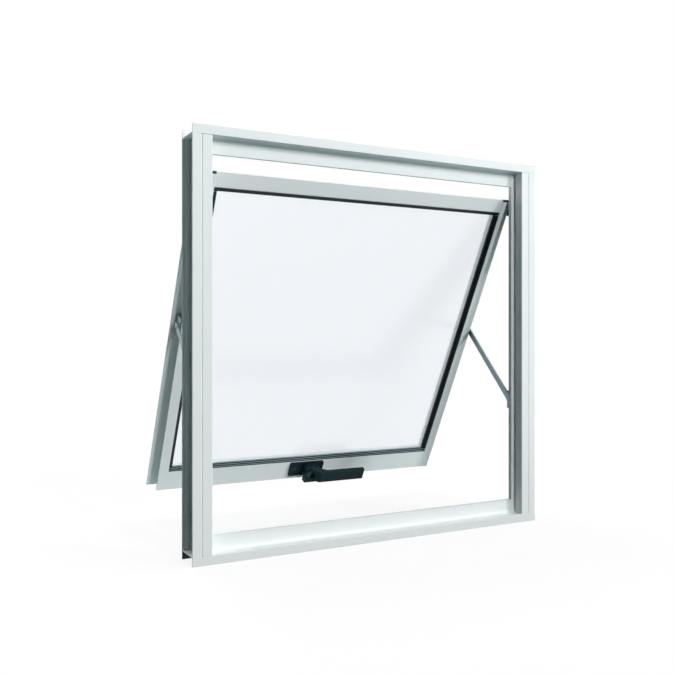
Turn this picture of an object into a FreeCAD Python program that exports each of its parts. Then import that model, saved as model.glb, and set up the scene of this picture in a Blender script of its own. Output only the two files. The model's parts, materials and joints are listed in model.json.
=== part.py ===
# Top hung awning window in powder-coated aluminium, standing open.
# Frame: +X to the right seen from the room, +Y out of the building, +Z up.
# Origin: middle of the underside of the sill's web, half way through the frame's depth.
import FreeCAD, Part
import math
import os

Vec = FreeCAD.Vector

# Outer frame, in millimetres
frame_width = 600.0
frame_height = 600.0
frame_depth = 47.3
flange_reach = 13.0        # outer edge of the flange to the inner face of the web
frame_wall = 1.4
frame_edge_radius = 0.6    # on the corners of the room face
stop_setback = 19.0        # room face of the frame to the room face of the stop
stop_depth = 7.0
stop_reach = 35.0          # outer edge of the flange to the tip of the stop
stop_root_radius = 4.5
seal_slot_width = 9.0      # outside width of the channel at the tip of the stop
seal_slot_lip = 1.9
key_rib_places = (4.0, 8.5)    # mortar ribs on the outside flange, from its edge
key_rib_size = 0.9
track_rib_inset = 3.5      # outside face of the frame to the rib that guides the shoes
track_rib_reach = 3.2

# Covers that clip in over the fixing screws in the jambs
cover_reach = 28.6         # outer edge of the flange to the inner side of the cover
cover_wall = 1.3
cover_groove = 1.3         # shadow line between flange and cover
cover_groove_depth = 0.8
cover_gap = 2.6            # shadow line between cover and stop
cover_return = 5.0
cover_corner_radius = 1.2
cover_end_clearance = 0.3

# Weather seal in the stop
seal_clearance = 0.1
seal_crown = 0.6           # how far the seal stands out of its slot
seal_crown_width = 4.4

# Sash
sash_side_gap = 15.0       # web of the jamb to the sash's room face
sash_end_gap = 11.3        # the same above and below, with the sash closed
sash_depth = 26.5
sash_wall = 1.4
sash_edge_radius = 0.7
sash_tilt = 27.6           # degrees open
sash_drop = 44.6           # web of the head to the upper edge of the open sash
sash_seal_gap = 0.7        # crown of the weather seal to the upper edge of the open sash
stile_face = 16.3
top_rail_face = 22.6
bottom_rail_face = 36.0
side_flange = 10.0         # outside flange beyond the room face, at the sides
bottom_flange = 6.0        # and below
side_recess = 7.0          # depth of the channel in the sash's sides
top_lip = 6.5              # the room face's wall above the body of the top rail
glazing_lip = 3.4

# Glass and what holds it
glass_thickness = 4.0
glass_setback = 7.0        # room face of the sash to the glass
glass_edge_clearance = 1.5
bead_width = 6.4
bead_setback = 0.6
bead_steps = 3
gasket_width = 1.6
gasket_thickness = 3.0

# Slider shoes at the sash's upper corners
shoe_sink = 3.2            # how far the cap is let into the end of the stile's face
shoe_setback = 0.2         # room face of the sash to the front of the cap
shoe_cap_depth = 4.5
shoe_corner_radius = 1.5
shoe_web_clearance = 1.5
shoe_clearance = 0.3       # in the track, and beside the stile
shoe_tongue_length = 24.0
slider_height = 26.0
slider_drop = 10.0         # upper edge of the sash to the middle of the slider

# Stay arms
stay_width = 9.8
stay_thickness = 2.5
stay_sash_clearance = 1.5
stay_sash_place = 248.4    # along the sash from its upper edge to the arm's upper pivot
stay_foot_drop = 339.5     # upper edge of the open sash down to the arm's lower pivot
stay_pin_radius = 3.0
stay_pin_clearance = 0.08
stay_head_radius = 5.0
stay_head_height = 1.0
stay_block_gap = 2.85      # each side of the upper block, in the sash's side channel
stay_block_length = 30.0

# Lever latch on the bottom rail
latch_width = 66.0
latch_plate = 4.5
latch_margin = 4.5         # plate to the edges of the bottom rail, if it were in the middle
latch_rise = 3.85          # middle of the rail to the middle of the plate
latch_rim = 4.0
latch_pocket = 1.6
latch_corner_radius = 3.0
latch_boss_radius = 10.0
latch_boss_height = 5.4
hub_radius = 10.5
hub_height = 10.0
hub_clearance = 0.05
pin_radius = 4.0
pin_clearance = 0.05
pin_head_radius = 7.0
pin_head_height = 1.8
sink_clearance = 0.2       # beside the pin's head
lever_height = 20.3
lever_rise = 1.1           # pivot to the middle of the bar
lever_thickness = 9.0
lever_offset = 27.0        # face of the bottom rail to the back of the lever's bar
lever_elbow = 11.0
lever_reach = 104.5
lever_taper = 1.6
lever_edge_radius = 1.2
spur_reach = 19.3
spur_width = 23.0
spur_left = 7.5            # pivot to the left side of the spur

# Places worked out from the sizes above
room = -frame_depth / 2
lower = -(flange_reach - frame_wall)
upper = lower + frame_height
half_width = frame_width / 2
half_height = frame_height / 2
track_rib_setback = frame_depth - track_rib_inset
crown_setback = stop_setback + stop_depth + seal_crown
half_sash = half_width - flange_reach - sash_side_gap
sash_height = frame_height - 2 * (flange_reach + sash_end_gap)
sash_top_setback = crown_setback + sash_seal_gap
stay_foot_setback = (crown_setback + track_rib_setback) / 2
stay_block_width = sash_depth - 2 * (sash_wall + stay_block_gap)
latch_plate_height = bottom_rail_face - 2 * latch_margin
lip_front = glass_setback + glass_thickness + gasket_thickness
lip_back = lip_front + sash_wall
tilt = math.radians(sash_tilt)
sash_origin = Vec(0, room + sash_top_setback, upper - flange_reach - sash_drop)
sash_down = Vec(0, math.sin(tilt), -math.cos(tilt))
sash_out = Vec(0, math.cos(tilt), math.sin(tilt))
sash_place = FreeCAD.Placement(sash_origin, FreeCAD.Rotation(Vec(1, 0, 0), sash_tilt))


def face_of(points, plane):
    # A point is (x, y); an arc is given by its middle and end points as a pair of points.
    edges = []
    here = points[0]
    for item in points[1:] + [points[0]]:
        if isinstance(item[0], tuple):
            middle, end = item
            arc = Part.Arc(plane(*here), plane(*middle), plane(*end))
            edges.append(arc.toShape())
            here = end
        elif item != here:
            edges.append(Part.makeLine(plane(*here), plane(*item)))
            here = item
    return Part.Face(Part.Wire(edges))


def hollow(outer, inner, plane):
    return face_of(outer, plane).cut(face_of(inner, plane))


def round_corner(corner, before, after, radius):
    # The arc that rounds a square corner, as start, (middle, end).
    cx, cy = corner
    bx, by = before
    ax, ay = after
    start = (cx + bx * radius, cy + by * radius)
    end = (cx + ax * radius, cy + ay * radius)
    centre = (cx + (bx + ax) * radius, cy + (by + ay) * radius)
    half = radius / math.sqrt(2)
    middle = (centre[0] - (bx + ax) * half, centre[1] - (by + ay) * half)
    return [start, (middle, end)]


def mirrored_x(shape):
    return shape.mirror(Vec(0, 0, 0), Vec(1, 0, 0))


def mirrored_z(shape):
    return shape.mirror(Vec(0, 0, lower + half_height), Vec(0, 0, 1))


def save(name, shape):
    if shape.ShapeType == "Compound" and len(shape.Solids) == 1:
        shape = shape.Solids[0]
    if not shape.isValid():
        raise ValueError(name + " is not a valid solid")
    shape.exportStep("parts/" + name + ".step")
    print(name, len(shape.Solids), round(shape.Volume / 1000.0, 2))


# Sections of the frame, as (distance in from the outer edge, distance back from the room face)
def channel_section():
    back = frame_depth - frame_wall
    points = round_corner((0, 0), (0, 1), (1, 0), frame_edge_radius)
    points += round_corner((flange_reach, 0), (-1, 0), (0, 1), frame_edge_radius)
    points += [(flange_reach, frame_depth), (0, frame_depth), (0, back)]
    half_rib = key_rib_size / 2
    for place in key_rib_places:
        points.append((place - half_rib, back))
        points.append((place - half_rib, back - key_rib_size))
        points.append((place + half_rib, back - key_rib_size))
        points.append((place + half_rib, back))
    web = flange_reach - frame_wall
    return points + [(web, back), (web, frame_wall), (0, frame_wall)]


def stop_section():
    front = stop_setback
    leg = front + frame_wall
    back = front + stop_depth
    lips = back - frame_wall
    slot_end = stop_reach - frame_wall
    slot_start = stop_reach - seal_slot_width
    slot_wall = slot_start + frame_wall
    points = round_corner((flange_reach, front), (0, -1), (1, 0), stop_root_radius)
    points += [(stop_reach, front), (stop_reach, back), (slot_end - seal_slot_lip, back)]
    points += [(slot_end - seal_slot_lip, lips), (slot_end, lips), (slot_end, leg)]
    points += [(slot_wall, leg), (slot_wall, lips), (slot_wall + seal_slot_lip, lips)]
    points += [(slot_wall + seal_slot_lip, back), (slot_start, back), (slot_start, leg)]
    return points + [(flange_reach, leg)]


def track_section():
    back = track_rib_setback + frame_wall
    tip = flange_reach + track_rib_reach
    return [(flange_reach, track_rib_setback), (tip, track_rib_setback), (tip, back), (flange_reach, back)]


def seal_section():
    leg = stop_setback + frame_wall
    back = stop_setback + stop_depth
    lips = back - frame_wall - seal_clearance
    end = stop_reach - frame_wall - seal_clearance
    start = stop_reach - seal_slot_width + frame_wall + seal_clearance
    neck_end = end - seal_slot_lip
    neck_start = start + seal_slot_lip
    middle = (start + end) / 2
    half = seal_crown_width / 2
    points = [(start, leg), (end, leg), (end, lips), (neck_end, lips), (neck_end, back)]
    points += [(middle + half, back), ((middle, back + seal_crown), (middle - half, back))]
    return points + [(neck_start, back), (neck_start, lips), (start, lips)]


def cover_section():
    rear = stop_setback - cover_gap
    groove = flange_reach + cover_groove
    lip = cover_groove_depth + cover_wall
    inner = cover_reach - cover_wall
    foot = cover_reach - cover_return
    floor = cover_groove_depth
    points = round_corner((groove, 0), (0, 1), (1, 0), frame_edge_radius)
    points += round_corner((cover_reach, 0), (-1, 0), (0, 1), cover_corner_radius)
    points += round_corner((cover_reach, rear), (0, -1), (-1, 0), cover_corner_radius)
    points += [(foot, rear), (foot, stop_setback), (foot - cover_wall, stop_setback)]
    points += [(foot - cover_wall, rear - cover_wall), (inner, rear - cover_wall), (inner, cover_wall)]
    points += [(groove + cover_wall, cover_wall), (groove + cover_wall, lip)]
    return points + [(flange_reach, lip), (flange_reach, floor), (groove, floor)]


def across(section, half_length):
    # A length of section lying along the sill.
    plane = lambda reach, back: Vec(-half_length, room + back, lower + reach)
    return face_of(section, plane).extrude(Vec(2 * half_length, 0, 0))


def upright(section, start, end):
    # A length of section standing in the left jamb.
    plane = lambda reach, back: Vec(-half_width + reach, room + back, start)
    return face_of(section, plane).extrude(Vec(0, 0, end - start))


def sill_stop():
    return across(stop_section(), half_width - flange_reach)


def make_frame():
    sill = across(channel_section(), half_width).fuse(sill_stop())
    jamb_start = lower + flange_reach
    jamb_end = upper - flange_reach
    jamb = upright(channel_section(), jamb_start, jamb_end)
    jamb = jamb.fuse(upright(stop_section(), lower + stop_reach, upper - stop_reach))
    jamb = jamb.fuse(upright(track_section(), lower + stop_reach, upper - stop_reach))
    sill = sill.removeSplitter()
    jamb = jamb.removeSplitter()
    save("frame_sill", sill)
    save("frame_head", mirrored_z(sill))
    save("frame_left_jamb", jamb)
    save("frame_right_jamb", mirrored_x(jamb))


def make_covers():
    start = lower + flange_reach + cover_end_clearance
    end = upper - flange_reach - cover_end_clearance
    cover = upright(cover_section(), start, end)
    # The ends are scribed to the root radius of the head and sill.
    cover = cover.cut(sill_stop()).cut(mirrored_z(sill_stop()))
    save("left_jamb_cover", cover)
    save("right_jamb_cover", mirrored_x(cover))


def make_seals():
    seal_half = half_width - stop_reach
    sill_seal = across(seal_section(), seal_half)
    jamb_seal = upright(seal_section(), lower + stop_reach, upper - stop_reach)
    save("sill_weather_seal", sill_seal)
    save("head_weather_seal", mirrored_z(sill_seal))
    save("left_weather_seal", jamb_seal)
    save("right_weather_seal", mirrored_x(jamb_seal))


# Sash, built upright with its upper room edge on the X axis and then tilted open
def sash_side_section(face, skirt):
    back = sash_depth - sash_wall
    lip = face + glazing_lip
    outer = round_corner((0, 0), (0, 1), (1, 0), sash_edge_radius)
    outer += round_corner((face, 0), (-1, 0), (0, 1), sash_edge_radius)
    outer += [(face, lip_front), (lip, lip_front), (lip, lip_back), (face, lip_back), (face, sash_depth)]
    outer += [(-skirt, sash_depth), (-skirt, back), (side_recess, back)]
    return outer + [(side_recess, sash_wall), (0, sash_wall)]


def sash_side_void(face):
    start = side_recess + sash_wall
    end = face - sash_wall
    back = sash_depth - sash_wall
    return [(start, sash_wall), (end, sash_wall), (end, back), (start, back)]


def sash_top_section(face):
    # The top rail's face lies one wall behind the face of the stiles.
    lip = face + glazing_lip
    front = sash_wall
    outer = round_corner((0, front), (0, 1), (1, 0), sash_edge_radius)
    outer += round_corner((face, front), (-1, 0), (0, 1), sash_edge_radius)
    outer += [(face, lip_front), (lip, lip_front), (lip, lip_back), (face, lip_back), (face, sash_depth)]
    return outer + [(top_lip, sash_depth), (top_lip, front + sash_wall), (0, front + sash_wall)]


def sash_top_void(face):
    end = face - sash_wall
    back = sash_depth - sash_wall
    start = top_lip + sash_wall
    front = 2 * sash_wall
    return [(start, front), (end, front), (end, back), (start, back)]


def tilted(shape):
    opened = shape.copy()
    opened.Placement = sash_place.multiply(opened.Placement)
    return opened


def make_sash():
    rail_half = half_sash - stile_face
    stile_plane = lambda reach, back: Vec(-half_sash + reach, back, -sash_height)
    stile = hollow(sash_side_section(stile_face, side_flange), sash_side_void(stile_face), stile_plane)
    stile = stile.extrude(Vec(0, 0, sash_height))
    lip_cut = Part.makeBox(
        glazing_lip, sash_wall, sash_height, Vec(-rail_half, lip_front, -sash_height))
    stile_lip = Part.makeBox(
        glazing_lip, sash_wall, sash_height - top_rail_face - bottom_rail_face,
        Vec(-rail_half, lip_front, bottom_rail_face - sash_height))
    stile = stile.cut(lip_cut).fuse(stile_lip).removeSplitter()

    top_plane = lambda reach, back: Vec(-rail_half, back, -reach)
    top = hollow(sash_top_section(top_rail_face), sash_top_void(top_rail_face), top_plane)
    top = top.extrude(Vec(2 * rail_half, 0, 0))
    bottom_plane = lambda reach, back: Vec(-rail_half, back, reach - sash_height)
    bottom = hollow(
        sash_side_section(bottom_rail_face, bottom_flange), sash_side_void(bottom_rail_face), bottom_plane)
    bottom = bottom.extrude(Vec(2 * rail_half, 0, 0))
    # Behind the room face the stiles end level with the top rail's body, and its upper wall
    # laps over them as far as their side channels.
    skirt_half = half_sash + side_flange
    notch = Part.makeBox(
        2 * skirt_half, sash_depth - sash_wall, top_lip, Vec(-skirt_half, sash_wall, -top_lip))
    lap_half = half_sash - side_recess
    lap = Part.makeBox(
        2 * lap_half, sash_depth - sash_wall, sash_wall, Vec(-lap_half, sash_wall, -top_lip - sash_wall))
    cap_seat = Part.makeBox(
        2 * skirt_half, sash_depth, shoe_sink, Vec(-skirt_half, 0, -shoe_sink))
    stile = stile.cut([notch, cap_seat, lap])
    top = top.fuse(lap).removeSplitter()
    skirt = Part.makeBox(
        2 * skirt_half, sash_wall, bottom_flange,
        Vec(-skirt_half, sash_depth - sash_wall, -sash_height - bottom_flange))
    bottom = bottom.fuse(skirt).removeSplitter()
    lips = stile_lip.fuse(mirrored_x(stile_lip))
    save("sash_left_stile", tilted(stile))
    save("sash_right_stile", tilted(mirrored_x(stile)))
    save("sash_top_rail", tilted(top.cut(lips)))
    save("sash_bottom_rail", tilted(bottom.cut(lips)))


def bead_section():
    # Reach is measured from the rebate wall into the opening.
    points = [(0, bead_setback)]
    tread = bead_width / bead_steps
    rise = (glass_setback - bead_setback) / bead_steps
    for step in range(bead_steps):
        points.append((tread * (step + 1), bead_setback + rise * step))
        points.append((tread * (step + 1), bead_setback + rise * (step + 1)))
    return points + [(0, glass_setback)]


def make_glazing():
    opening_half = half_sash - stile_face
    opening_top = -top_rail_face
    opening_bottom = bottom_rail_face - sash_height
    bottom_plane = lambda reach, back: Vec(-opening_half, back, opening_bottom + reach)
    top_plane = lambda reach, back: Vec(-opening_half, back, opening_top - reach)
    side_start = opening_bottom + bead_width
    side_plane = lambda reach, back: Vec(-opening_half + reach, back, side_start)
    run = Vec(2 * opening_half, 0, 0)
    bottom = face_of(bead_section(), bottom_plane).extrude(run)
    top = face_of(bead_section(), top_plane).extrude(run)
    side_length = opening_top - opening_bottom - 2 * bead_width
    side = face_of(bead_section(), side_plane).extrude(Vec(0, 0, side_length))
    save("bead_bottom", tilted(bottom))
    save("bead_top", tilted(top))
    save("bead_left", tilted(side))
    save("bead_right", tilted(mirrored_x(side)))

    glass_half = opening_half - glass_edge_clearance
    glass_low = opening_bottom + glass_edge_clearance
    glass_high = opening_top - glass_edge_clearance
    glass = Part.makeBox(
        2 * glass_half, glass_thickness, glass_high - glass_low, Vec(-glass_half, glass_setback, glass_low))
    save("glass_pane", tilted(glass))

    gasket_start = glass_setback + glass_thickness
    outer = Part.makeBox(
        2 * glass_half, gasket_thickness, glass_high - glass_low, Vec(-glass_half, gasket_start, glass_low))
    inner_half = glass_half - gasket_width
    inner = Part.makeBox(
        2 * inner_half, gasket_thickness, glass_high - glass_low - 2 * gasket_width,
        Vec(-inner_half, gasket_start, glass_low + gasket_width))
    save("glazing_gasket", tilted(outer.cut(inner)))


def make_shoes():
    # A cap on the stile's upper end with a block behind the room face, a tongue in the
    # stile's side channel, and the upright slider that runs in the jamb's track.
    cap = Part.makeBox(
        stile_face, shoe_cap_depth, shoe_sink, Vec(-half_sash, shoe_setback, -shoe_sink))
    channel_room = sash_wall + shoe_clearance
    channel_depth = sash_depth - 2 * channel_room
    block = Part.makeBox(
        stile_face + shoe_clearance, shoe_setback + shoe_cap_depth - channel_room, top_lip,
        Vec(-half_sash - shoe_clearance, channel_room, -top_lip))
    tongue = Part.makeBox(
        side_recess + shoe_clearance, channel_depth, shoe_tongue_length - top_lip,
        Vec(-half_sash - shoe_clearance, channel_room, -shoe_tongue_length))
    head = tilted(cap.fuse([block, tongue]))
    slider_outer = half_width - flange_reach - shoe_web_clearance
    slider_inner = half_sash + shoe_clearance
    slider_front = room + crown_setback + shoe_clearance
    slider_back = room + track_rib_setback - shoe_clearance
    slider_middle = sash_origin.z - slider_drop
    slider = Part.makeBox(
        slider_outer - slider_inner, slider_back - slider_front, slider_height,
        Vec(-slider_outer, slider_front, slider_middle - slider_height / 2))
    outer_edges = [edge for edge in slider.Edges if edge.CenterOfMass.x < shoe_clearance - slider_outer]
    slider = slider.makeFillet(shoe_corner_radius, outer_edges)
    shoe = head.fuse(slider).removeSplitter()
    save("left_slider_shoe", shoe)
    save("right_slider_shoe", mirrored_x(shoe))


def make_stays():
    # All in the plane of the left arm; the right one is its mirror image.
    channel_middle = sash_depth / 2
    top_pivot = sash_origin + sash_down * stay_sash_place + sash_out * channel_middle
    foot_pivot = Vec(0, room + stay_foot_setback, sash_origin.z - stay_foot_drop)
    arm_inner = half_sash + stay_sash_clearance
    arm_outer = arm_inner + stay_thickness
    hole_radius = stay_pin_radius + stay_pin_clearance
    sideways = Vec(1, 0, 0)
    along = (foot_pivot - top_pivot).normalize()
    across_arm = sideways.cross(along) * (stay_width / 2)
    end_reach = along * (stay_width / 2)
    place = Vec(-arm_outer, 0, 0)
    top = top_pivot + place
    foot = foot_pivot + place
    edges = [
        Part.makeLine(top + across_arm, foot + across_arm),
        Part.Arc(foot + across_arm, foot + end_reach, foot - across_arm).toShape(),
        Part.makeLine(foot - across_arm, top - across_arm),
        Part.Arc(top - across_arm, top - end_reach, top + across_arm).toShape(),
    ]
    arm = Part.Face(Part.Wire(edges)).extrude(sideways * stay_thickness)
    for pivot in (top, foot):
        arm = arm.cut(Part.makeCylinder(hole_radius, stay_thickness, pivot, sideways))
    save("left_stay_arm", arm)
    save("right_stay_arm", mirrored_x(arm))

    # Upper block, standing in the sash's side channel
    block_inner = half_sash - side_recess
    block_outer = arm_inner - stay_pin_clearance
    block = Part.makeBox(
        block_outer - block_inner, stay_block_width, stay_block_length,
        Vec(-block_outer, channel_middle - stay_block_width / 2, -stay_sash_place - stay_block_length / 2))
    pin_end = arm_outer + stay_pin_clearance
    pin_place = Vec(-pin_end, channel_middle, -stay_sash_place)
    pin = Part.makeCylinder(stay_pin_radius, pin_end - block_outer, pin_place, sideways)
    head_place = Vec(-pin_end - stay_head_height, channel_middle, -stay_sash_place)
    head = Part.makeCylinder(stay_head_radius, stay_head_height, head_place, sideways)
    bracket = block.fuse([pin, head]).removeSplitter()
    save("left_stay_bracket", tilted(bracket))
    save("right_stay_bracket", tilted(mirrored_x(bracket)))

    # Lower block, standing on the jamb's web
    web = half_width - flange_reach
    foot_inner = arm_outer + stay_pin_clearance
    foot_depth = track_rib_setback - crown_setback - 2 * shoe_clearance
    foot_block = Part.makeBox(
        web - foot_inner, foot_depth, stay_block_length,
        Vec(-web, room + crown_setback + shoe_clearance, foot_pivot.z - stay_block_length / 2))
    foot_pin_end = arm_inner - stay_pin_clearance
    foot_pin = Part.makeCylinder(
        stay_pin_radius, foot_inner - foot_pin_end, Vec(-foot_inner, foot_pivot.y, foot_pivot.z), sideways)
    foot_head = Part.makeCylinder(
        stay_head_radius, stay_head_height, Vec(-foot_pin_end, foot_pivot.y, foot_pivot.z), sideways)
    anchor = foot_block.fuse([foot_pin, foot_head]).removeSplitter()
    save("left_stay_anchor", anchor)
    save("right_stay_anchor", mirrored_x(anchor))


def make_latch():
    # Built against the bottom rail's room face; the room is towards -Y.
    middle = bottom_rail_face / 2 - sash_height + latch_rise
    toward_room = Vec(0, -1, 0)
    low = middle - latch_plate_height / 2
    plate = Part.makeBox(
        latch_width, latch_plate, latch_plate_height, Vec(-latch_width / 2, -latch_plate, low))
    corners = [edge for edge in plate.Edges if abs(edge.tangentAt(edge.FirstParameter).y) > 0.5]
    plate = plate.makeFillet(latch_corner_radius, corners)
    pocket = Part.makeBox(
        latch_width - 2 * latch_rim, latch_pocket, latch_plate_height - 2 * latch_rim,
        Vec(-latch_width / 2 + latch_rim, -latch_plate, low + latch_rim))
    boss_top = latch_plate + latch_boss_height
    boss = Part.makeCylinder(
        latch_boss_radius, latch_boss_height + latch_pocket,
        Vec(0, latch_pocket - latch_plate, middle), toward_room)
    base = plate.cut(pocket).fuse(boss).removeSplitter()
    save("latch_base", tilted(base))

    hub_start = boss_top + hub_clearance
    hub_end = hub_start + hub_height
    pin_end = hub_end + hub_clearance
    pin = Part.makeCylinder(pin_radius, pin_end - boss_top, Vec(0, -boss_top, middle), toward_room)
    head = Part.makeCylinder(pin_head_radius, pin_head_height, Vec(0, -pin_end, middle), toward_room)
    save("latch_pin", tilted(pin.fuse(head).removeSplitter()))

    hub = Part.makeCylinder(hub_radius, hub_height, Vec(0, -hub_start, middle), toward_room)
    bar_back = lever_offset
    bar_front = lever_offset + lever_thickness
    plan = lambda x, out: Vec(x, -out, middle + lever_rise - lever_height / 2)
    turn = lever_elbow + lever_thickness
    outline = [
        (0, hub_start), (hub_radius, hub_start),
        ((turn - lever_taper * 2, (hub_start + bar_back) / 2), (turn + lever_thickness, bar_back)),
        (lever_reach, bar_back), (lever_reach - lever_taper, bar_front),
        (lever_elbow + lever_thickness / 2, bar_front),
        ((lever_elbow / 2, (hub_end + bar_front) / 2), (0, hub_end)),
    ]
    bar = face_of(outline, plan).extrude(Vec(0, 0, lever_height))
    rims = [edge for edge in bar.Edges if edge.CenterOfMass.x > lever_reach / 2]
    bar = bar.makeFillet(lever_edge_radius, rims)
    spur = Part.makeBox(
        spur_width, hub_height, spur_reach, Vec(-spur_left, -hub_end, middle - spur_reach))
    tips = [edge for edge in spur.Edges if edge.CenterOfMass.z < middle - spur_reach + spur_left]
    spur = spur.makeFillet(lever_edge_radius, tips)
    hole = Part.makeCylinder(
        pin_radius + pin_clearance, bar_front, Vec(0, -hub_start + hub_clearance, middle), toward_room)
    sink = Part.makeCylinder(
        pin_head_radius + sink_clearance, bar_front, Vec(0, -hub_end, middle), toward_room)
    lever = hub.fuse([bar, spur]).removeSplitter().cut(hole.fuse(sink))
    save("latch_lever", tilted(lever))


os.makedirs("parts", exist_ok=True)
make_frame()
make_covers()
make_seals()
make_sash()
make_glazing()
make_shoes()
make_stays()
make_latch()
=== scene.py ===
# Top hung awning window: its finishes, its fixing screws and a plain white studio.
import json
import math

import bpy
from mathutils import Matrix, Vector


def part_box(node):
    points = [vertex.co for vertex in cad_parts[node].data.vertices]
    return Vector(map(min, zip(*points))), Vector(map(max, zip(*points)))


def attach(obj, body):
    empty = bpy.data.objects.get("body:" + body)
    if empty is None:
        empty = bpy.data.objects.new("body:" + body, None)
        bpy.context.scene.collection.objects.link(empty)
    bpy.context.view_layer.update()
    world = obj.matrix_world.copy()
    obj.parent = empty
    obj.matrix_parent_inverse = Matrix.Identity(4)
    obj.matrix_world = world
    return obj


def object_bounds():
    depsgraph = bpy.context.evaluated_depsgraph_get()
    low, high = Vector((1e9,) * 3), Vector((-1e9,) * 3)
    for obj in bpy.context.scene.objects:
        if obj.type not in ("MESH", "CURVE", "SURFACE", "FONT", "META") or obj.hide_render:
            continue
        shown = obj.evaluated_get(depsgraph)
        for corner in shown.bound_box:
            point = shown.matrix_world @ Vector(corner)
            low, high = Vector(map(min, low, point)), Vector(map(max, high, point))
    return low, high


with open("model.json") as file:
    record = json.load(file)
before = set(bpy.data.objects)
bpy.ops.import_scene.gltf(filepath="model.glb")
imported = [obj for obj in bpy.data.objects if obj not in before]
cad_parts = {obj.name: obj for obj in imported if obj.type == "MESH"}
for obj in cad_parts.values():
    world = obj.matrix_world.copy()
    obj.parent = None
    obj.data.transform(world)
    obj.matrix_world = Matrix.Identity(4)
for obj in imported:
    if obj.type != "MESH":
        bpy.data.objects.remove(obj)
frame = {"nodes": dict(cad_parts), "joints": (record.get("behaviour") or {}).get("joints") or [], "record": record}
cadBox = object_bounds()
nodes = frame["nodes"]
mounts = {mount["name"]: mount for mount in frame["record"]["mounts"]}
print("frame loaded:", len(nodes), "nodes")

mm = 0.001
alreadyScaled = 1.0     # for a pattern whose coordinates a Mapping node has scaled

# The latch turns about the sash's normal, so its axis gives the tilt of the open sash.
latchJoint = frame["joints"][0]
sashIn = Vector(latchJoint["axis"]).normalized()
sashOut = -sashIn
sashTilt = math.atan2(sashOut.z, sashOut.y)
sashUp = Vector((0, -math.sin(sashTilt), math.cos(sashTilt)))
latchCentre = Vector(latchJoint["pos_m"])


def linearColour(hexColour):
    # sRGB hex to the linear values that the shader sockets hold
    channels = [int(hexColour[start:start + 2], 16) / 255 for start in (0, 2, 4)]
    return [c / 12.92 if c <= 0.04045 else ((c + 0.055) / 1.055) ** 2.4 for c in channels] + [1]


def perMetre(sizeMm):
    # scale of a pattern whose features are this many millimetres apart
    return 1 / (sizeMm * mm)


def addNode(tree, kind, settings=None, inputs=None):
    # an input is a value or the output socket that feeds it; a number names a socket by its place
    node = tree.nodes.new(kind)
    for name, value in (settings or {}).items():
        setattr(node, name, value)
    for name, value in (inputs or {}).items():
        if isinstance(value, bpy.types.NodeSocket):
            tree.links.new(value, node.inputs[name])
        else:
            node.inputs[name].default_value = value
    return node


def objectSpot(tree):
    return addNode(tree, "ShaderNodeTexCoord").outputs["Object"]


def speckle(tree, spot, scale, octaves):
    return addNode(tree, "ShaderNodeTexNoise", None, {
        "Vector": spot, "Scale": scale, "Detail": octaves}).outputs["Fac"]


def middle(pair):
    return sum(pair) / 2


def newFinish(name, roughness, specular=0.5, metallic=0.0):
    material = bpy.data.materials.new(name)
    material.use_nodes = True
    shader = material.node_tree.nodes["Principled BSDF"]
    shader.inputs["Specular IOR Level"].default_value = specular
    shader.inputs["Metallic"].default_value = metallic
    shader.inputs["Roughness"].default_value = roughness
    return material, material.node_tree, shader


def paintTones(tree, shader, pattern, firstHex, secondHex):
    # two tones of the finish, mixed by a pattern; 6 and 7 are the mix node's colours, 2 its colour output
    tone = addNode(tree, "ShaderNodeMix", {"data_type": "RGBA"}, {
        0: pattern, 6: linearColour(firstHex), 7: linearColour(secondHex)})
    tree.links.new(tone.outputs[2], shader.inputs["Base Color"])
    return tone.outputs[2]


def roughen(tree, shader, pattern, low, high):
    spread = addNode(tree, "ShaderNodeMapRange", None, {"Value": pattern, "To Min": low, "To Max": high})
    tree.links.new(spread.outputs["Result"], shader.inputs["Roughness"])


def emboss(tree, shader, pattern, depthMm):
    bump = addNode(tree, "ShaderNodeBump", None, {"Height": pattern, "Distance": depthMm * mm})
    tree.links.new(bump.outputs["Normal"], shader.inputs["Normal"])


# White powder coat on extruded aluminium: a sprayed and baked skin with a faint orange peel.
# It gives the eye broad soft highlights and almost no change of colour.
powderCoat = {
    "white": "EFF3F3", "cloud": "E7ECEC", "cloudMm": 160, "cloudOctaves": 2,
    "peelMm": 3.0,          # about 1 mm on the real skin, drawn coarser so that it shows
    "peelOctaves": 1, "peelDepthMm": 0.03, "roughness": (0.38, 0.5), "specular": 0.15,
}


def makePowderCoat():
    material, tree, shader = newFinish(
        "white_powder_coated_aluminium", middle(powderCoat["roughness"]), powderCoat["specular"])
    spot = objectSpot(tree)
    cloud = speckle(tree, spot, perMetre(powderCoat["cloudMm"]), powderCoat["cloudOctaves"])
    peel = speckle(tree, spot, perMetre(powderCoat["peelMm"]), powderCoat["peelOctaves"])
    paintTones(tree, shader, cloud, powderCoat["white"], powderCoat["cloud"])
    roughen(tree, shader, peel, *powderCoat["roughness"])
    emboss(tree, shader, peel, powderCoat["peelDepthMm"])
    return material


# Black extruded bead: satin plastic with fine draw lines from the die along its length,
# which break its highlight into thin streaks. The steps that face up are painted grey: partly settled dust, partly
# a painted highlight that stands for the light they catch from above.
bead = {
    "black": "0A1519", "worn": "132128", "lineMm": 1.1, "lineOctaves": 2, "stretch": 60,
    "lineDepthMm": 0.03, "roughness": (0.24, 0.4), "specular": 0.32,
    # dust with a painted highlight: the grey of the up-facing steps, and how far up a step must face to take it
    "dustAndHighlight": "889FA3", "dustAndHighlightFrom": 0.5, "dustAndHighlightBy": 0.85,      # upward part of the surface's normal
}


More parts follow.
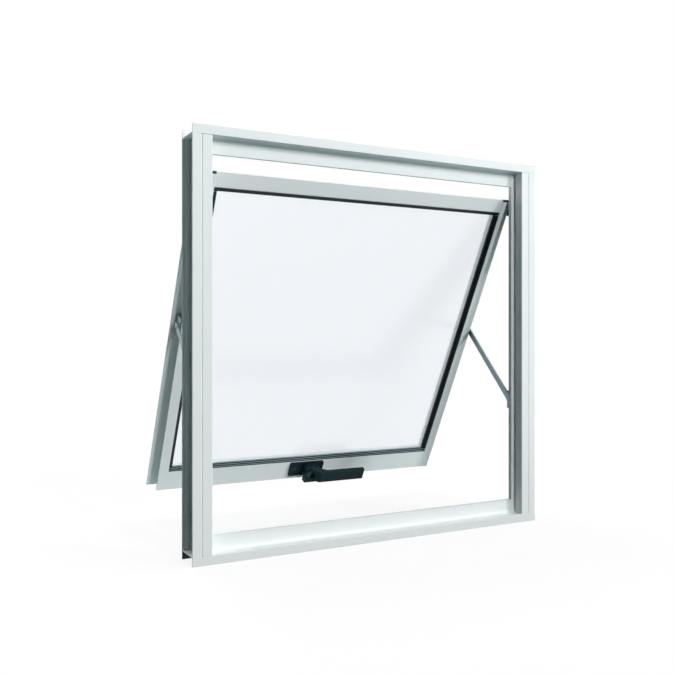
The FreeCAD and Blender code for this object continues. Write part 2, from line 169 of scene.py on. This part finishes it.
def makeBead(name, alongX):
    material, tree, shader = newFinish(name, middle(bead["roughness"]), bead["specular"])
    across = perMetre(bead["lineMm"])
    along = across / bead["stretch"]
    turned = addNode(tree, "ShaderNodeMapping", None, {
        "Vector": objectSpot(tree), "Rotation": (-sashTilt, 0, 0),
        "Scale": (along, across, across) if alongX else (across, across, along)})
    lines = speckle(tree, turned.outputs["Vector"], alreadyScaled, bead["lineOctaves"])
    clean = paintTones(tree, shader, lines, bead["black"], bead["worn"])
    # painted highlight with dust: the more a step faces up, the greyer it is drawn, for the light it catches from
    # above
    facing = addNode(tree, "ShaderNodeNewGeometry").outputs["Normal"]
    upward = addNode(tree, "ShaderNodeSeparateXYZ", None, {"Vector": facing})
    dustAndHighlightShare = addNode(tree, "ShaderNodeMapRange", None, {
        "Value": upward.outputs["Z"], "From Min": bead["dustAndHighlightFrom"], "From Max": bead["dustAndHighlightBy"]})
    dustAndHighlightTone = addNode(tree, "ShaderNodeMix", {"data_type": "RGBA"}, {
        0: dustAndHighlightShare.outputs["Result"], 6: clean, 7: linearColour(bead["dustAndHighlight"])})
    tree.links.new(dustAndHighlightTone.outputs[2], shader.inputs["Base Color"])
    roughen(tree, shader, lines, *bead["roughness"])
    emboss(tree, shader, lines, bead["lineDepthMm"])
    return material


# Obscure glass: rolled on one face with a fine grain, so it passes light and hides what is behind it.
glass = {
    "tint": "F6F9FD", "grainMm": 2.4,     # about 1 mm on the real pane, drawn coarser so that it shows
    "grainDepthMm": 0.05, "roughness": 0.15, "ior": 1.5, "specular": 0.1, "clear": 0.95,
}


def makeGlass():
    material, tree, shader = newFinish("obscure_rolled_glass", glass["roughness"], glass["specular"])
    grain = addNode(tree, "ShaderNodeTexVoronoi", {"feature": "SMOOTH_F1"}, {
        "Vector": objectSpot(tree), "Scale": perMetre(glass["grainMm"])})
    shader.inputs["Base Color"].default_value = linearColour(glass["tint"])
    shader.inputs["Transmission Weight"].default_value = glass["clear"]
    shader.inputs["IOR"].default_value = glass["ior"]
    emboss(tree, shader, grain.outputs["Distance"], glass["grainDepthMm"])
    return material


# Extruded rubber of the seals and the gasket: matt black with a dusty bloom.
rubber = {
    "black": "121313", "bloom": "232525", "bloomMm": 9, "bloomOctaves": 4,
    "roughness": 0.75, "specular": 0.3,
}


def makeRubber():
    material, tree, shader = newFinish("black_extruded_rubber", rubber["roughness"], rubber["specular"])
    bloom = speckle(tree, objectSpot(tree), perMetre(rubber["bloomMm"]), rubber["bloomOctaves"])
    paintTones(tree, shader, bloom, rubber["black"], rubber["bloom"])
    return material


# Rolled aluminium of the stays: bare metal with a dull mill finish, its grain running along the arm.
stay = {
    "bright": "8E9EA1", "dull": "79898D", "grainMm": 0.9, "grainOctaves": 3, "stretch": 40,
    "grainDepthMm": 0.02, "roughness": (0.34, 0.55),
}


def makeStayMetal():
    material, tree, shader = newFinish("mill_finish_aluminium", middle(stay["roughness"]), metallic=1.0)
    low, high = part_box("left_stay_arm")
    lean = math.atan2(high.y - low.y, high.z - low.z)
    across = perMetre(stay["grainMm"])
    turned = addNode(tree, "ShaderNodeMapping", None, {
        "Vector": objectSpot(tree), "Rotation": (lean, 0, 0),
        "Scale": (across, across, across / stay["stretch"])})
    grain = speckle(tree, turned.outputs["Vector"], alreadyScaled, stay["grainOctaves"])
    paintTones(tree, shader, grain, stay["bright"], stay["dull"])
    roughen(tree, shader, grain, *stay["roughness"])
    emboss(tree, shader, grain, stay["grainDepthMm"])
    return material


# Moulded nylon of the slider shoes: black with a fine sparked grain from the tool.
nylon = {
    "black": "16181A", "rubbed": "2A2D2F", "rubMm": 12, "rubOctaves": 3,
    "grainMm": 1.2,         # drawn coarser than the real grain so that it shows
    "grainOctaves": 1, "grainDepthMm": 0.04, "roughness": 0.55, "specular": 0.45,
}


def makeNylon():
    material, tree, shader = newFinish("black_moulded_nylon", nylon["roughness"], nylon["specular"])
    spot = objectSpot(tree)
    rub = speckle(tree, spot, perMetre(nylon["rubMm"]), nylon["rubOctaves"])
    grain = speckle(tree, spot, perMetre(nylon["grainMm"]), nylon["grainOctaves"])
    paintTones(tree, shader, rub, nylon["black"], nylon["rubbed"])
    emboss(tree, shader, grain, nylon["grainDepthMm"])
    return material


# Black powder coat on the die-cast latch: satin, slightly pebbled.
latchCoat = {
    "black": "082125", "sheen": "0C272C", "sheenMm": 25, "sheenOctaves": 2,
    "pebbleMm": 1.6, "pebbleOctaves": 1, "pebbleDepthMm": 0.05, "roughness": (0.42, 0.55), "specular": 0.13,
}


def makeLatchCoat():
    material, tree, shader = newFinish(
        "black_powder_coated_casting", middle(latchCoat["roughness"]), latchCoat["specular"])
    spot = objectSpot(tree)
    sheen = speckle(tree, spot, perMetre(latchCoat["sheenMm"]), latchCoat["sheenOctaves"])
    pebble = speckle(tree, spot, perMetre(latchCoat["pebbleMm"]), latchCoat["pebbleOctaves"])
    paintTones(tree, shader, sheen, latchCoat["black"], latchCoat["sheen"])
    roughen(tree, shader, sheen, *latchCoat["roughness"])
    emboss(tree, shader, pebble, latchCoat["pebbleDepthMm"])
    return material


# Screws and the latch's rivet: steel, either zinc plated or blackened, with turning marks.
steel = {
    "zinc": ("C9CDCE", "A5ABAD"), "blackened": ("384547", "2B3739"),
    "markMm": 0.8, "markOctaves": 2, "roughness": (0.26, 0.42),
}


def makeSteel(name, tones):
    material, tree, shader = newFinish(name, middle(steel["roughness"]), metallic=1.0)
    marks = speckle(tree, objectSpot(tree), perMetre(steel["markMm"]), steel["markOctaves"])
    paintTones(tree, shader, marks, *tones)
    roughen(tree, shader, marks, *steel["roughness"])
    return material


powderCoatFinish = makePowderCoat()
beadAcross = makeBead("black_extruded_bead_across", True)
beadUpright = makeBead("black_extruded_bead_upright", False)
glassFinish = makeGlass()
rubberFinish = makeRubber()
stayFinish = makeStayMetal()
nylonFinish = makeNylon()
latchFinish = makeLatchCoat()
zincFinish = makeSteel("zinc_plated_steel", steel["zinc"])
rivetFinish = makeSteel("blackened_steel", steel["blackened"])


def finishOf(name):
    if name.startswith("bead_"):
        return beadAcross if name in ("bead_top", "bead_bottom") else beadUpright
    if name == "glass_pane":
        return glassFinish
    if "seal" in name or "gasket" in name:
        return rubberFinish
    if "stay" in name:
        return stayFinish
    if "shoe" in name:
        return nylonFinish
    if name == "latch_pin":
        return rivetFinish
    if "latch" in name:
        return latchFinish
    return powderCoatFinish


for name, node in nodes.items():
    node.data.materials.clear()
    node.data.materials.append(finishOf(name))
print("finishes set on", len(nodes), "nodes")


# Pan head screws: a tapered head with a cross recess, placed on points that carry their facing.
screwSides = 24
frameScrew = {"headMm": 6.5, "riseMm": 2.0, "crownMm": 4.4, "recessMm": 0.9, "recessLengthMm": 3.8}
stayScrew = {"headMm": 5.6, "riseMm": 1.2, "crownMm": 4.0, "recessMm": 0.8, "recessLengthMm": 3.2}
latchScrew = {"headMm": 6.0, "riseMm": 0.7, "crownMm": 5.2, "recessMm": 0.9, "recessLengthMm": 3.6}
screwInputs = {
    "Head radius": lambda sizes: sizes["headMm"] / 2 * mm,
    "Crown radius": lambda sizes: sizes["crownMm"] / 2 * mm,
    "Rise": lambda sizes: sizes["riseMm"] * mm,
    "Recess width": lambda sizes: sizes["recessMm"] * mm,
    "Recess length": lambda sizes: sizes["recessLengthMm"] * mm,
}


def screwTree(finish):
    tree = bpy.data.node_groups.new("panHeadScrews", "GeometryNodeTree")
    tree.interface.new_socket("Geometry", in_out="INPUT", socket_type="NodeSocketGeometry")
    tree.interface.new_socket("Geometry", in_out="OUTPUT", socket_type="NodeSocketGeometry")
    for name in screwInputs:
        tree.interface.new_socket(name, in_out="INPUT", socket_type="NodeSocketFloat")
    given = addNode(tree, "NodeGroupInput").outputs
    head = addNode(tree, "GeometryNodeMeshCone", None, {
        "Vertices": screwSides, "Radius Top": given["Crown radius"], "Radius Bottom": given["Head radius"],
        "Depth": given["Rise"]})
    barSize = addNode(tree, "ShaderNodeCombineXYZ", None, {
        "X": given["Recess length"], "Y": given["Recess width"], "Z": given["Rise"]})
    crossSize = addNode(tree, "ShaderNodeCombineXYZ", None, {
        "X": given["Recess width"], "Y": given["Recess length"], "Z": given["Rise"]})
    lift = addNode(tree, "ShaderNodeCombineXYZ", None, {"Z": given["Rise"]})
    cut = head.outputs["Mesh"]
    for size in (barSize, crossSize):
        bar = addNode(tree, "GeometryNodeMeshCube", None, {"Size": size.outputs["Vector"]})
        raised = addNode(tree, "GeometryNodeTransform", None, {
            "Geometry": bar.outputs["Mesh"], "Translation": lift.outputs["Vector"]})
        slotted = addNode(tree, "GeometryNodeMeshBoolean", {"operation": "DIFFERENCE"}, {
            "Mesh 1": cut, "Mesh 2": raised.outputs["Geometry"]})
        cut = slotted.outputs["Mesh"]
    facing = addNode(tree, "GeometryNodeInputNamedAttribute", {"data_type": "FLOAT_VECTOR"}, {
        "Name": "facing"})
    turn = addNode(tree, "FunctionNodeAlignRotationToVector", {"axis": "Z"}, {
        "Vector": facing.outputs["Attribute"]})
    placed = addNode(tree, "GeometryNodeInstanceOnPoints", None, {
        "Points": given["Geometry"], "Instance": cut, "Rotation": turn.outputs["Rotation"]})
    real = addNode(tree, "GeometryNodeRealizeInstances", None, {"Geometry": placed.outputs["Instances"]})
    coated = addNode(tree, "GeometryNodeSetMaterial", None, {
        "Geometry": real.outputs["Geometry"], "Material": finish})
    addNode(tree, "NodeGroupOutput", None, {"Geometry": coated.outputs["Geometry"]})
    return tree


def driveScrews(name, places, sizes, finish):
    mesh = bpy.data.meshes.new(name + "_points")
    mesh.from_pydata([tuple(point) for point, facing in places], [], [])
    facings = mesh.attributes.new("facing", "FLOAT_VECTOR", "POINT")
    for item, (point, facing) in zip(facings.data, places):
        item.vector = facing
    source = bpy.data.objects.new(name + "_source", mesh)
    bpy.context.scene.collection.objects.link(source)
    modifier = source.modifiers.new("screws", "NODES")
    tree = screwTree(finish)
    modifier.node_group = tree
    for socket in tree.interface.items_tree:
        if socket.in_out == "INPUT" and socket.name in screwInputs:
            modifier[socket.identifier] = screwInputs[socket.name](sizes)
    shown = source.evaluated_get(bpy.context.evaluated_depsgraph_get())
    made = bpy.data.objects.new(name, bpy.data.meshes.new_from_object(shown))
    bpy.data.objects.remove(source)
    bpy.context.scene.collection.objects.link(made)
    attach(made, "window")
    return made


# Where the screws go: through the head and sill into the jambs, through the stiles into the
# bottom rail, in the feet of the stays, and in the pocket of the latch plate.
fixing = {
    "jambInsetMm": 8.5, "jambSpreadMm": 11, "railDepthsMm": (8, 18), "stileChannelMm": 17, "railDropMm": 3.85,
    "footOffsetMm": 10.5, "latchSpreadMm": 24, "latchFloorMm": 2.9, "pivotHeightMm": 15,
}


def framePlaces():
    fromMiddle = cadBox[1].x - fixing["jambInsetMm"] * mm
    places = []
    for mountName in ("sill_bed", "head_bed"):
        bed = mounts[mountName]
        for side in (-1, 1):
            for spread in (-1, 1):
                y = spread * fixing["jambSpreadMm"] * mm
                point = Vector((side * fromMiddle, y, bed["pos_m"][2]))
                places.append((point, Vector(bed["axis"])))
    return places


def railPlaces():
    # in the side channels of the stiles, level with the middle of the bottom rail
    railFace = latchCentre + sashOut * fixing["pivotHeightMm"] * mm - sashUp * fixing["railDropMm"] * mm
    places = []
    for side, stile in ((-1, "sash_left_stile"), (1, "sash_right_stile")):
        low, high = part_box(stile)
        channel = fixing["stileChannelMm"] * mm
        x = high.x - channel if side > 0 else low.x + channel
        for depth in fixing["railDepthsMm"]:
            point = railFace + sashOut * depth * mm
            places.append((Vector((x, point.y, point.z)), Vector((side, 0, 0))))
    return places


def footPlaces():
    # one screw in the foot of each stay, on the side that the arm swings over
    places = []
    offset = fixing["footOffsetMm"] * mm
    for side, prefix in ((-1, "left"), (1, "right")):
        armLow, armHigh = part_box(prefix + "_stay_arm")
        outer = armHigh.x if side > 0 else armLow.x
        low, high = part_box(prefix + "_stay_anchor")
        foot = (low + high) / 2
        places.append((Vector((outer, foot.y, foot.z - offset)), Vector((-side, 0, 0))))
    return places


def latchPlaces():
    floor = latchCentre + sashOut * (fixing["pivotHeightMm"] - fixing["latchFloorMm"]) * mm
    spread = fixing["latchSpreadMm"] * mm
    return [(floor + Vector((side * spread, 0, 0)), sashIn) for side in (-1, 1)]


screwSets = [
    driveScrews("frame_screws", framePlaces(), frameScrew, zincFinish),
    driveScrews("rail_screws", railPlaces(), frameScrew, zincFinish),
    driveScrews("stay_screws", footPlaces(), stayScrew, zincFinish),
    driveScrews("latch_screws", latchPlaces(), latchScrew, rivetFinish),
]
print("screws driven:", sum(len(made.data.polygons) for made in screwSets), "faces")


# Studio: a wide pale floor in a white room. One front light is nearly straight on and one is far to
# the right, so that the right jamb half shades its own inner side.
studio = {
    "floorSeenHex": "F7F8F8", "floorSize": 14,
    "bounceDarkHex": "324648", "bouncePaleHex": "DEF3F4",
    "rightFrom": 0.42, "rightBy": 0.66, "rearFrom": 0.05, "rearBy": 0.3, "rearShare": 0.75,
    "nearWhite": 0.88, "whiteFrom": 0.6, "whiteBy": 1.6,
    "ambientHex": "B4F6FF", "ambient": 0.018, "backdropHex": "FFFFFF",
    "beforeBounce": 0.5,    # the count of matt bounces is under this until light meets a matt surface
}


def seenDirectly(tree):
    # 1 where the camera looks straight, by way of a mirror-like surface or through glass,
    # and 0 for the light that the object's matt surfaces gather
    path = addNode(tree, "ShaderNodeLightPath").outputs
    either = addNode(tree, "ShaderNodeMath", {"operation": "MAXIMUM"}, {
        0: path["Is Camera Ray"], 1: path["Is Glossy Ray"]})
    every = addNode(tree, "ShaderNodeMath", {"operation": "MAXIMUM"}, {
        0: either.outputs[0], 1: path["Is Transmission Ray"]})
    straight = addNode(tree, "ShaderNodeMath", {"operation": "LESS_THAN"}, {
        0: path["Diffuse Depth"], 1: studio["beforeBounce"]})
    both = addNode(tree, "ShaderNodeMath", {"operation": "MULTIPLY"}, {
        0: every.outputs[0], 1: straight.outputs[0]})
    return both.outputs[0]


def makeFloorPaint():
    material = bpy.data.materials.new("pale_studio_floor")
    material.use_nodes = True
    tree = material.node_tree
    tree.nodes.clear()
    seen = seenDirectly(tree)
    spot = objectSpot(tree)
    along = addNode(tree, "ShaderNodeSeparateXYZ", None, {"Vector": spot})
    # the floor throws light back from the right and from behind, like pale cards laid there
    right = addNode(tree, "ShaderNodeMapRange", None, {
        "Value": along.outputs["X"], "From Min": studio["rightFrom"], "From Max": studio["rightBy"]})
    rear = addNode(tree, "ShaderNodeMapRange", None, {
        "Value": along.outputs["Y"], "From Min": studio["rearFrom"], "From Max": studio["rearBy"],
        "To Max": studio["rearShare"]})
    pale = addNode(tree, "ShaderNodeMath", {"operation": "MAXIMUM"}, {
        0: right.outputs["Result"], 1: rear.outputs["Result"]})
    bounce = addNode(tree, "ShaderNodeMix", {"data_type": "RGBA"}, {
        0: pale.outputs[0], 6: linearColour(studio["bounceDarkHex"]),
        7: linearColour(studio["bouncePaleHex"])})
    tone = addNode(tree, "ShaderNodeMix", {"data_type": "RGBA"}, {
        0: seen, 6: bounce.outputs[2], 7: linearColour(studio["floorSeenHex"])})
    matt = addNode(tree, "ShaderNodeBsdfDiffuse", None, {"Color": tone.outputs[2]})
    white = addNode(tree, "ShaderNodeEmission", None, {"Color": linearColour(studio["backdropHex"])})
    reach = addNode(tree, "ShaderNodeVectorMath", {"operation": "LENGTH"}, {0: spot})
    fade = addNode(tree, "ShaderNodeMapRange", None, {
        "Value": reach.outputs["Value"], "From Min": studio["whiteFrom"], "From Max": studio["whiteBy"],
        "To Min": studio["nearWhite"]})
    # through the obscure glass the floor is as white as the backdrop, so the pane is even
    through = addNode(tree, "ShaderNodeLightPath").outputs["Is Transmission Ray"]
    level = addNode(tree, "ShaderNodeMath", {"operation": "MAXIMUM"}, {0: fade.outputs["Result"], 1: through})
    share = addNode(tree, "ShaderNodeMath", {"operation": "MULTIPLY"}, {0: seen, 1: level.outputs[0]})
    mixed = addNode(tree, "ShaderNodeMixShader", None, {
        0: share.outputs[0], 1: matt.outputs["BSDF"], 2: white.outputs["Emission"]})
    addNode(tree, "ShaderNodeOutputMaterial", None, {"Surface": mixed.outputs["Shader"]})
    return material


def makeFloor():
    half = studio["floorSize"] / 2
    height = cadBox[0].z
    corners = [(-half, -half, height), (half, -half, height), (half, half, height), (-half, half, height)]
    mesh = bpy.data.meshes.new("studio_floor")
    mesh.from_pydata(corners, [], [(0, 1, 2, 3)])
    mesh.materials.append(makeFloorPaint())
    floor = bpy.data.objects.new("studio_floor", mesh)
    bpy.context.scene.collection.objects.link(floor)


def makeWorld():
    world = bpy.data.worlds.new("studio_world")
    bpy.context.scene.world = world
    world.use_nodes = True
    tree = world.node_tree
    tree.nodes.clear()
    ambient = addNode(tree, "ShaderNodeBackground", None, {
        "Color": linearColour(studio["ambientHex"]), "Strength": studio["ambient"]})
    white = addNode(tree, "ShaderNodeBackground", None, {"Color": linearColour(studio["backdropHex"])})
    mixed = addNode(tree, "ShaderNodeMixShader", None, {
        0: seenDirectly(tree), 1: ambient.outputs["Background"], 2: white.outputs["Background"]})
    addNode(tree, "ShaderNodeOutputWorld", None, {"Surface": mixed.outputs["Shader"]})


softBoxes = {
    "front": {"place": (0.5, -5.2, 2.2), "aim": (0, 0, 0.28), "size": (0.5, 2.2), "watts": 142},
    "right": {"place": (10.8, -12.9, 6.0), "aim": (0, 0, 0.28), "size": (3.0, 6.6), "watts": 1380},
    "above": {"place": (1.1, -0.4, 3.6), "aim": (0, 0, 0.2), "size": (1.6, 2.0), "watts": 60},
    "over": {"place": (-0.5, 1.3, 3.4), "aim": (0, 0.15, 0.25), "size": (1.0, 1.0), "watts": 40},
    "side": {"place": (-1.8, 1.1, 0.7), "aim": (-0.3, 0.15, 0.25), "size": (0.8, 0.8), "watts": 9},
    "behind": {"place": (0.6, 4.6, 2.4), "aim": (0, 0.1, 0.28), "size": (2.4, 2.0), "watts": 86},
}


def makeSoftBox(name, box):
    lamp = bpy.data.lights.new(name + "_soft_box", "AREA")
    lamp.shape = "RECTANGLE"
    lamp.size, lamp.size_y = box["size"]
    lamp.energy = box["watts"]
    lampObject = bpy.data.objects.new(name + "_soft_box", lamp)
    lampObject.location = box["place"]
    lampObject.visible_camera = False
    lampObject.visible_transmission = False
    away = Vector(box["aim"]) - Vector(box["place"])
    lampObject.rotation_euler = away.to_track_quat("-Z", "Y").to_euler()
    bpy.context.scene.collection.objects.link(lampObject)


makeFloor()
makeWorld()
for name, box in softBoxes.items():
    makeSoftBox(name, box)
print("studio ready")


# The camera stands to the left of the window, level, half way up it.
viewpoint = {
    "place": (-0.6383, -1.0777, 0.3012), "turnDeg": 27.93, "lensMm": 43.2, "shiftY": -0.0022,
    "clipStart": 0.01,
}


def makeCamera():
    camera = bpy.data.cameras.new("camera")
    camera.lens = viewpoint["lensMm"]
    camera.shift_y = viewpoint["shiftY"]
    camera.clip_start = viewpoint["clipStart"]
    cameraObject = bpy.data.objects.new("camera", camera)
    cameraObject.location = viewpoint["place"]
    cameraObject.rotation_euler = (math.radians(90), 0, -math.radians(viewpoint["turnDeg"]))
    bpy.context.scene.collection.objects.link(cameraObject)
    bpy.context.scene.camera = cameraObject


makeCamera()
bpy.context.scene.view_settings.view_transform = "Standard"
